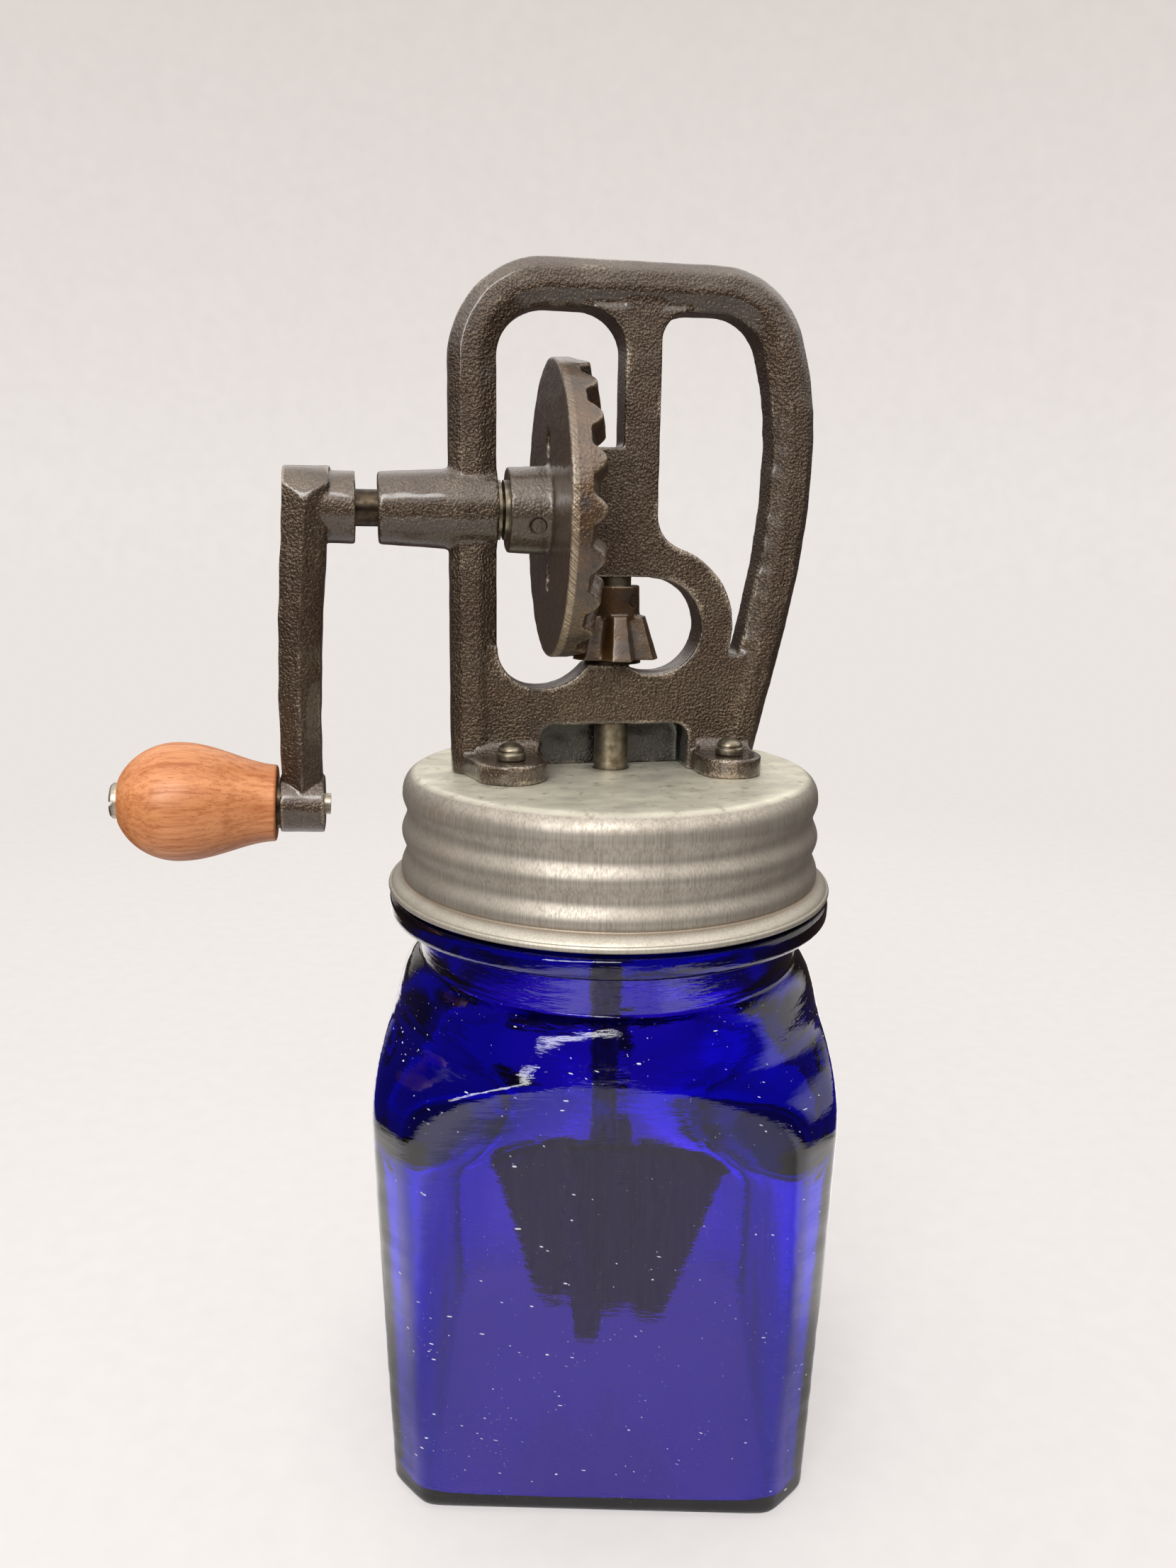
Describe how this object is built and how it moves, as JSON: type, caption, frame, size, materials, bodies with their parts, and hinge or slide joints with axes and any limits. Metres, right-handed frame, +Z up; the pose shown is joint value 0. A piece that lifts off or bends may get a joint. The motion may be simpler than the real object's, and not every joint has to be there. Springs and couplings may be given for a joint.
{
  "type": "glass jar butter churn",
  "caption": "Square blue glass jar with a zinc screw lid and a cast-iron frame, whose hand crank turns a wooden dasher through a crown gear and bevel pinion.",
  "frame": {"origin": "middle of the jar's base, on the surface it stands on", "axes": "+Z up along the dasher shaft, +X along the crank shaft from the knob towards the grip side of the frame, front is -Y"},
  "size_m": [0.215, 0.1468, 0.347],
  "materials": {
    "blue_glass": "clear cobalt blue, pressed",
    "zinc": "dull rolled zinc",
    "seal_rubber": "matt",
    "cast_iron": "oiled sand casting",
    "gear_iron": "oiled casting with a ground rim",
    "plated_steel": "worn plating",
    "oiled_steel": "dark and oiled",
    "dasher_wood": "bare, planed",
    "knob_wood": "turned, oiled"
  },
  "bodies": {
    "jar": {"glass_jar": "blue_glass"},
    "seal": {"lid_seal": "seal_rubber"},
    "lid": {"screw_lid": "zinc", "frame": "cast_iron", "frame_bolts": "plated_steel", "bolt_washers": "plated_steel", "bolt_nuts": "plated_steel", "frame_washer": "plated_steel", "pinion_washer": "oiled_steel"},
    "crank": {"crank_shaft": "oiled_steel", "crank_arm": "cast_iron", "crown_gear": "gear_iron", "gear_pin": "oiled_steel", "hub_washer": "plated_steel", "knob_spindle": "plated_steel", "knob_washer": "oiled_steel"},
    "dasher": {"pinion": "gear_iron", "pinion_pin": "oiled_steel", "dasher_shaft": "plated_steel", "dasher_hub": "dasher_wood", "dasher_pin": "oiled_steel", "dasher_blade_1": "dasher_wood", "dasher_blade_2": "dasher_wood", "dasher_blade_3": "dasher_wood", "dasher_blade_4": "dasher_wood"},
    "knob": {"knob": "knob_wood"}
  },
  "joints": [
    {"name": "lid_lift", "type": "slide", "parent": "jar", "child": "seal", "axis": [0, 0, 1], "range_m": [0, 0.19]},
    {"name": "lid_turn", "type": "hinge", "parent": "seal", "child": "lid", "pos_m": [0, 0, 0.2055], "axis": [0, 0, 1], "range_deg": [0, 450]},
    {"name": "crank_turn", "type": "hinge", "parent": "lid", "child": "crank", "pos_m": [0, 0, 0.2805], "axis": [1, 0, 0], "continuous": true},
    {"name": "dasher_spin", "type": "hinge", "parent": "lid", "child": "dasher", "pos_m": [0, 0, 0.2], "axis": [0, 0, 1], "continuous": true},
    {"name": "knob_spin", "type": "hinge", "parent": "crank", "child": "knob", "pos_m": [-0.08941, 0, 0.19778], "axis": [0.999, 0, -0.0436], "continuous": true}
  ],
  "couplings": [
    {"joint": "dasher_spin", "follows": "crank_turn", "ratio": -3.3333}
  ]
}
